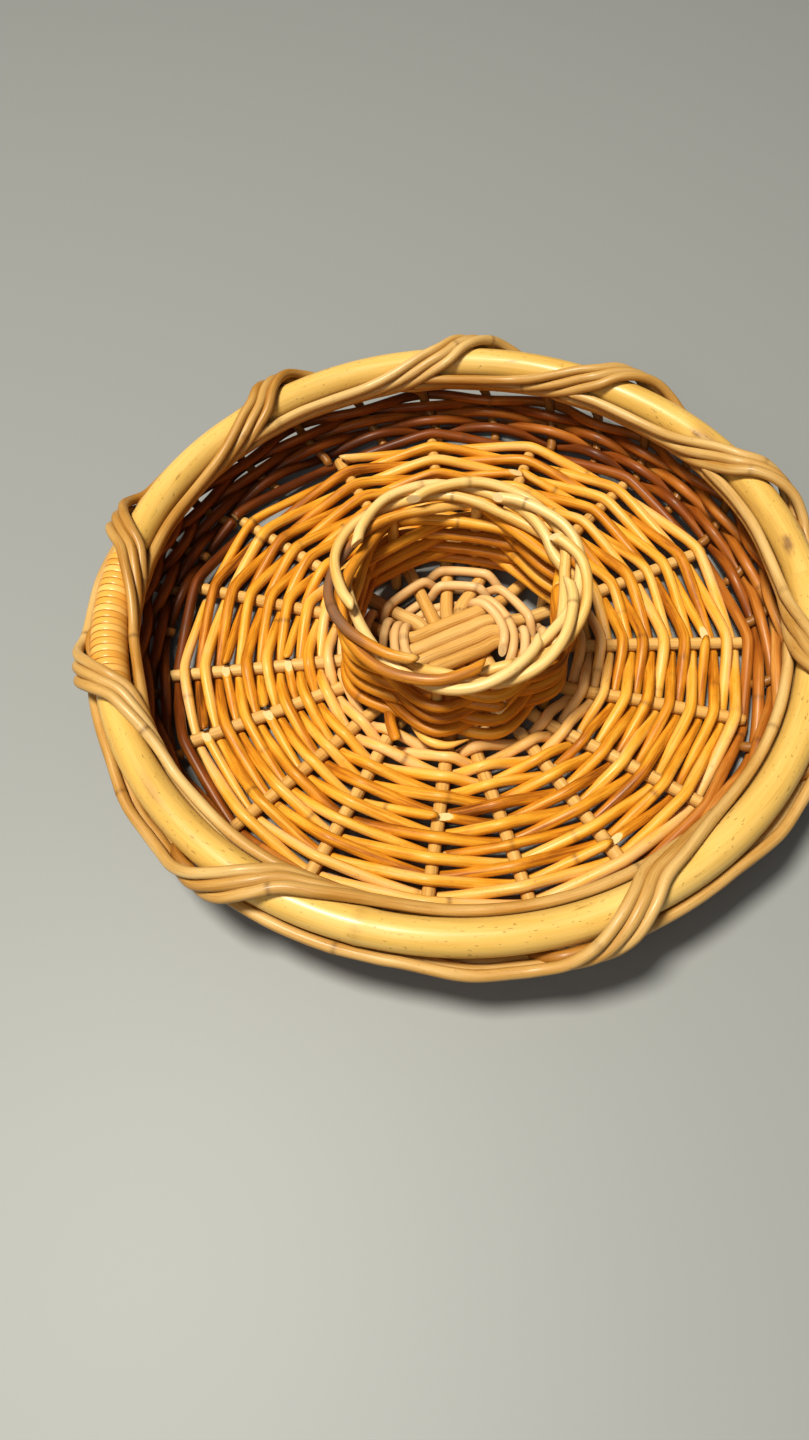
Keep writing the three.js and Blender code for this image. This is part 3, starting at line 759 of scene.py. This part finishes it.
# %% [markdown]
# The pole's skin is scarred: side shoots left oval knots, the dark rings are its nodes, and it is paler and
# darker in slow waves. Each mark is an oval spot that fades out at its rim, with a dark core if the scar is
# deep.

# %% Knots and scars of the pole
# Marks as ring angle, angle round the pole, half length and half width in mm, added tone, dark core.
POLE_MARKS = [
    (31.5, 112, 19, 4.2, 0.55, 0.0), (35.5, 126, 4, 1.6, 0.5, 0.9), (28, 104, 3, 1.1, 0.5, 0.9),
    (25.5, 95, 2.2, 0.8, 0.3, 0.8), (6, 122, 6.5, 2.6, 0.75, 0.35), (346, 147, 7, 1.0, 0.3, 0.75),
    (283, 113, 6, 0.9, 0.3, 0.7), (300, 96, 9, 2.5, 0.18, 0.0), (95, 140, 16, 3.0, 0.2, 0.0),
    (214, 80, 12, 2.6, 0.22, 0.0), (148, 120, 5, 0.8, 0.3, 0.6), (75, 120, 3, 0.8, 0.4, 0.6),
]
TONE_WAVES = ((0.1, 2, 40), (0.06, 7, 0))
POLE_TONE, RING_DARKNESS, RING_REACH = 0.26, 0.9, 1.6 * MM
MARK_SLANT, CORE_SHARPNESS = 0.12, 2.2

rod_coords = np.column_stack([np.radians(ring_angle) * RING_R, u, v])
round_angle = np.degrees(np.arctan2(v, u))
pole_tone = POLE_TONE + ring_waves(TONE_WAVES)
pole_dark = RING_DARKNESS * np.exp(-((nearest / RING_REACH) ** 2))
for place, facing, half_long, half_wide, added, core in POLE_MARKS:
    along_mm = np.radians(degrees_from(ring_angle, place)) * RING_R / MM
    across_mm = np.radians(degrees_from(round_angle, facing)) * POLE_R / MM
    spot = (along_mm / half_long) ** 2 + ((across_mm + MARK_SLANT * along_mm) / half_wide) ** 2
    pole_tone += added * np.exp(-spot ** 2)
    pole_dark = np.maximum(pole_dark, core * np.exp(-(spot * CORE_SHARPNESS) ** 2))
for label, data in (("tone", pole_tone), ("node", pole_dark)):
    layer = pole.data.attributes.new(label, "FLOAT", "POINT")
    layer.data.foreach_set("value", data.astype(np.float32))
layer = pole.data.attributes.new("rod", "FLOAT_VECTOR", "POINT")
layer.data.foreach_set("vector", rod_coords.astype(np.float32).ravel())
pole.data.materials.append(pole_skin)
bpy.ops.object.shade_smooth()
settle(pole, "pole_rattan", "rim_pole")
print(len(POLE_MARKS), "marks on the pole")

# %% [markdown]
# The pole's two ends meet in a slanting joint, hidden under a tight winding of flat peeled cane. The
# winding is one long ribbon with an oval section, swept along a helix round the bent pole.

# %% Cane binding
BINDING_FROM, BINDING_TO, CANE_WIDE, CANE_THICK = 167.5, 193.0, 4.3 * MM, 0.9 * MM
CANE_PITCH, CANE_SIT = 1.03, 0.55       # in widths from turn to turn, in thicknesses above the pole
CANE_TONE, CANE_TONE_CHANGE, CANE_TONE_PACE = 0.35, 0.25, 2.1
turns = math.radians(BINDING_TO - BINDING_FROM) * RING_R / (CANE_WIDE * CANE_PITCH)
steps_per_turn = 40
count = int(turns * steps_per_turn)


def around_pole(degrees, phi, distance):
    return polar(RING_R + distance * math.cos(math.radians(phi)), degrees,
                 POLE_Z + distance * math.sin(math.radians(phi)))


corners = np.arange(12) / 12 * 2 * math.pi
section = [(math.cos(a) * CANE_WIDE / 2, math.sin(a) * CANE_THICK / 2) for a in corners]
cane = RodShapes()
rings, rod_rows = [], []
for i in range(count + 1):
    degrees = mix(BINDING_FROM, BINDING_TO, i / count)
    phi = 360 * i / steps_per_turn
    distance = POLE_R + CANE_THICK * CANE_SIT
    here, middle = around_pole(degrees, phi, distance), around_pole(degrees, phi, 0)
    outward = (here - middle) / distance
    along_pole = np.array([-math.sin(math.radians(degrees)), math.cos(math.radians(degrees)), 0])
    rings.append([here + along_pole * a + outward * b for a, b in section])
    rod_rows.append([(distance * math.radians(phi), a, b) for a, b in section])
rings, rod_rows = np.array(rings), np.array(rod_rows)
sides = len(section)
cane.verts.append(rings.reshape(-1, 3))
cane.rod.append(rod_rows.reshape(-1, 3))
waves = np.sin(np.arange(count + 1) / steps_per_turn * CANE_TONE_PACE)
cane.tone.append(np.repeat(CANE_TONE + CANE_TONE_CHANGE * waves, sides))
cane.node.append(np.zeros(len(rings) * sides))
i, k = np.meshgrid(np.arange(count), np.arange(sides), indexing="ij")
a, b = i * sides + k, i * sides + (k + 1) % sides
cane.faces.append(np.stack([b, a, a + sides, b + sides], axis=-1).reshape(-1, 4))
cane.count = len(rings) * sides
cane.core_faces.append(tuple(range(sides)))
cane.core_faces.append(tuple(count * sides + k for k in reversed(range(sides))))
settle(build_piece(cane, "rim_binding_cane", cane_skin, cut_core), "flat_cane", "rim_binding")
print(f"cane binding: {turns:.0f} turns")

# %% [markdown]
# The wall is made of rods in groups of three. They leave the floor's edge, climb past the dark weavers, run
# along under the pole, swing over it together and end inside. The next group's rods pass under the bundle,
# so the bundle stands a rod's thickness further out there. The two bundles on the near side swing over the
# pole more slowly than the others.

# %% Lanes of the lashings
LASH_R, LASH_SIT, BUNDLE_LIFT = 2.95 * MM, 0.9 * MM, 1.35
LASH_D = POLE_R + LASH_R + LASH_SIT
OUTER_D = LASH_D + BUNDLE_LIFT * LASH_R
RODS_PER_WRAP = 3
WALL_FOOT = (167.6, 8.7)
WALL_LINE = [(171.9, 10), (178.4, 13), (184.2, 17.4), (188.4, 23.1), (191, 29.6)]
RISE_START, LEAN, WRAP_SPREAD = -24, 0.8, 0.8
# Angles round the pole, 0 outwards and 90 up: the lanes of the first rod and the steps to the next one.
OUTSIDE_LANE, INSIDE_LANE, LANE_STEP = -29, 232, 25
OUTER_LANE, OUTER_LANE_STEP = -29, 19
TURN_MIDDLE, TURN_STEP, BUNDLE_SETTLED = 112, 21, 70
# Degrees of the ring: where a lane runs, where the bundle forms and where the rods end.
LANE_FROM, LANE_TO, LANE_POINTS, LANE_SPARE = 8, 36, 8, 2
BUNDLE_FORMS, RISE_SPARE = (-27, -21), 5
INSIDE_FROM, END_PAST, END_STEP, END_SPARE = 30, 7, 2, 3
SHORT_TURN, LONG_TURN, LONG_TURNED = (16, 18), (20, 26), (6, 7)
TURN_REACH, TURN_COUNT, TURN_EASE = 0.9, 11, 0.4


def wrap_angle(g):
    return WRAPS[g % len(WRAPS)] + 360 * (g // len(WRAPS))


def stake_foot(g, j):
    before = wrap_angle(g - 1)
    return before + RISE_START + (wrap_angle(g) - before) * j / RODS_PER_WRAP


def lane_points(first, last, phi):
    return [around_pole(a, phi, LASH_D) for a in np.arange(first, last, LANE_POINTS)]


print(f"lashings lie {LASH_D:.4f} from the pole's axis, bundles {OUTER_D:.4f}")

# %% [markdown]
# One rod's path is put together from its foot upwards: the wall, its own lane outside under the pole, the
# bundle, the turn over the pole and the lane inside. In the turn the rod moves round the pole fastest at
# the top.

# %% Rim lashings
def turn_points(g, j, wrap, start_phi, end_phi):
    turn_in, turn_out = LONG_TURN if g in LONG_TURNED else SHORT_TURN
    middle = TURN_MIDDLE - TURN_STEP * (j - 1)
    points = []
    for t in np.linspace(-TURN_REACH, TURN_REACH, TURN_COUNT):
        ease = t * (1 + TURN_EASE - TURN_EASE * t * t)
        phi = middle + ease * (end_phi - middle if t > 0 else middle - start_phi)
        distance = mix(OUTER_D, LASH_D, min(max(phi / BUNDLE_SETTLED, 0), 1))
        points.append(around_pole(wrap + t * (turn_out if t > 0 else turn_in), phi, distance))
    return points


def lashing_points(g, j):
    foot, wrap = stake_foot(g, j), wrap_angle(g) + WRAP_SPREAD * (j - 1)
    end = wrap_angle(g + 1) + END_PAST - END_STEP * j
    lane, outer_lane = OUTSIDE_LANE - LANE_STEP * j, OUTER_LANE - OUTER_LANE_STEP * j
    inside = INSIDE_LANE - LANE_STEP * j
    points = [polar(WALL_FOOT[0] * MM, foot, WALL_FOOT[1] * MM)]
    points += [polar(r * MM, foot + LEAN * i, z * MM) for i, (r, z) in enumerate(WALL_LINE)]
    if wrap - LANE_TO - LANE_SPARE > foot + LANE_FROM + LANE_SPARE:
        points += lane_points(foot + LANE_FROM, wrap - LANE_TO - LANE_SPARE, lane)
        points.append(around_pole(wrap - LANE_TO, lane, LASH_D))
    forming = [wrap + a for a in BUNDLE_FORMS if wrap + a > foot + RISE_SPARE]
    points += [around_pole(a, outer_lane, OUTER_D) for a in forming]
    points += turn_points(g, j, wrap, outer_lane, inside)
    points += lane_points(wrap + INSIDE_FROM, end - END_SPARE, inside)
    points.append(around_pole(end, inside, LASH_D))
    return points


LASH_TONES = [0.2, 0.3, 0.15, 0.45, 0.5, 0.2, 0.3, 0.25, 0.2]
# The first two tone stops darken each rod's foot where it climbs the wall: this is painted shade under the
# pole.
SHADED_FOOT_TONES, TONE_STOPS = [1.1, 1.0], 8
for g in range(len(WRAPS)):
    for j in range(RODS_PER_WRAP):
        name = f"lashing_{g + 1}_rod_{j + 1}"
        shapes = RodShapes()
        thick = LASH_R * rng.uniform(0.95, 1.04)
        tones = SHADED_FOOT_TONES + [LASH_TONES[g] + rng.uniform(-0.2, 0.25) for _ in range(TONE_STOPS)]
        shapes.add(smooth_path(lashing_points(g, j), 2.2 * MM), thick, tone=tones, sides=14, slant=(0, 2.4),
                   node_gap=rng.uniform(0.12, 0.2))
        settle(build_piece(shapes, name + "_rattan", lash_skin, cut_core), "lashing_rattan", name)
print(len(WRAPS) * RODS_PER_WRAP, "lashing rods")

# %% [markdown]
# Dark weavers hold the climbing rods together. The first round still goes over and under the spokes, right
# beside the last pale row, and the others are the same weave on a sloping wall, in and out of the climbing
# rods. The lower ones are darker than the upper ones. Their tone also carries painted shade, deepest at the
# far side, where the wall lies in shade, and lightest at the near side.

# %% Wall weavers
WALL_R, WALL_OFFSET = 3.15 * MM, 5.6 * MM
WALL_PIECES = 4
# Degrees round the tray where the painted shade on the wall rods is deepest.
WALL_SHADE_DEEPEST = 115
# Tones of the lower and upper rounds, the swing of painted shade round the tray, and a random scatter.
LOW_TONE, HIGH_TONE, SHADE_SWING, TONE_SCATTER = 0.68, 0.5, 0.26, 0.08
WALL_START, WALL_ROUND, WALL_ROUNDS = -0.22, 0.76, 5.3
feet = [stake_foot(g, j) for g in range(len(WRAPS)) for j in range(RODS_PER_WRAP)]


def wall_point(u, side, degrees):
    i = min(max(int(u), 0), len(WALL_LINE) - 2)
    (r0, z0), (r1, z1) = WALL_LINE[i], WALL_LINE[i + 1]
    length = math.hypot(r1 - r0, z1 - z0)
    r = mix(r0, r1, u - i) * MM + side * WALL_OFFSET * (z1 - z0) / length
    z = mix(z0, z1, u - i) * MM - side * WALL_OFFSET * (r1 - r0) / length
    return polar(r, degrees + LEAN * u, z)


first = round(FLOOR_ROD_TURNS[-1] * len(SPOKES)) + 1
rounds = [floor_points(first, first + len(SPOKES))]
begin = next(i for i, degrees in enumerate(feet) if degrees > SPOKES[first % len(SPOKES)][0])
climbing = []
for k in range(int(WALL_ROUNDS * len(feet))):
    degrees = feet[(begin + k) % len(feet)]
    climbing.append(wall_point(WALL_START + WALL_ROUND * k / len(feet), 1 if k % 2 else -1, degrees))
share = len(climbing) // (WALL_PIECES - 1)
rounds += [climbing[i * share:(i + 1) * share + 1] for i in range(WALL_PIECES - 1)]
for row, points in enumerate(rounds):
    shapes = RodShapes()
    around = [math.atan2(y - CENTRE[1], x - CENTRE[0]) - math.radians(WALL_SHADE_DEEPEST) for x, y, _ in points]
    level = HIGH_TONE if row > 1 else LOW_TONE
    # Painted shade: each stop is darker the nearer it lies to the far side of the tray.
    tones = [level + SHADE_SWING * math.cos(turn) + rng.uniform(-TONE_SCATTER, TONE_SCATTER)
             for turn in around]
    shapes.add(smooth_path(points, 2.2 * MM), WALL_R, tone=tones, sides=14, node_gap=0.16)
    name = f"wall_weaver_{row + 1}"
    settle(build_piece(shapes, name + "_rattan", dark_skin, cut_core), "dark_rattan", name)
print(len(rounds), "wall weavers")

# %% [markdown]
# A pale grey surface carries the tray, and it is stage, not part of the object.

# %% Floor of the scene
STAGE_GREY = (0.246, 0.254, 0.247, 1)
bpy.ops.object.select_all(action="DESELECT")
bpy.ops.mesh.primitive_plane_add(size=6, location=(0, 0, -0.0005))
table = bpy.context.object
table.name = "stage_floor"
paint = bpy.data.materials.new("stage_grey")
paint.use_nodes = True
paint.node_tree.nodes["Principled BSDF"].inputs["Base Color"].default_value = STAGE_GREY
paint.node_tree.nodes["Principled BSDF"].inputs["Roughness"].default_value = 0.55
table.data.materials.append(paint)
print("surface laid")

# %% [markdown]
# A rather small key light stands far off, high on the left, so the shadows are nearly parallel and fall a
# little to the right. A wider, weaker one from the near left opens the shadows, and the room adds a trace
# of light.

# %% Lights
def area_light(name, place, target, size, energy, colour):
    data = bpy.data.lights.new(name, "AREA")
    data.shape = "DISK"
    data.size = size
    data.energy = energy
    data.color = colour
    lamp = bpy.data.objects.new(name, data)
    bpy.context.collection.objects.link(lamp)
    lamp.location = place
    aim = np.array(target) - np.array(place)
    tilt = math.acos(-aim[2] / np.linalg.norm(aim))
    lamp.rotation_euler = (tilt, 0, math.atan2(aim[1], aim[0]) - math.pi / 2)


area_light("key_light", (-0.75, -0.1, 2.9), (0, 0, 0), 0.7, 117, (1.0, 0.96, 0.87))
area_light("fill_light", (-0.5, -1.0, 1.2), (0, 0, 0), 0.9, 5, (1.0, 0.97, 0.92))
world = bpy.data.worlds.new("soft_room")
bpy.context.scene.world = world
world.use_nodes = True
world.node_tree.nodes["Background"].inputs["Color"].default_value = (0.95, 0.97, 1.0, 1)
world.node_tree.nodes["Background"].inputs["Strength"].default_value = 0.12
bpy.context.scene.view_settings.view_transform = "Standard"
bpy.context.scene.view_settings.look = "Medium High Contrast"
print("two lamps and a dim room")

# %% [markdown]
# The camera looks down from the near side, a little left of the middle, and is rolled a few degrees, so
# that the tray sits right of centre in a tall picture.

# %% Camera
PITCH, ROLL = 59.48, -3.65
TARGET = np.array([-32.7, -40.9, 0]) * MM
DISTANCE = 593.7 * MM
SENSOR, LENS = 36, 26             # millimetres, along the tall side of the picture

camera_data = bpy.data.cameras.new("view_camera")
camera_data.sensor_fit = "VERTICAL"
camera_data.sensor_height = SENSOR
camera_data.lens = LENS
camera = bpy.data.objects.new("view_camera", camera_data)
bpy.context.collection.objects.link(camera)
pitch, roll = math.radians(PITCH), math.radians(ROLL)
back = np.array([0, -math.cos(pitch), math.sin(pitch)])
right = np.array([1.0, 0, 0])
up = np.cross(right, -back)
rolled_right = right * math.cos(roll) + up * math.sin(roll)
rolled_up = -right * math.sin(roll) + up * math.cos(roll)
turn = Matrix([list(rolled_right), list(rolled_up), list(back)]).transposed().to_4x4()
turn.translation = list(TARGET + back * DISTANCE)
camera.matrix_world = turn
bpy.context.scene.camera = camera
print("camera at", [round(float(c), 3) for c in TARGET + back * DISTANCE])
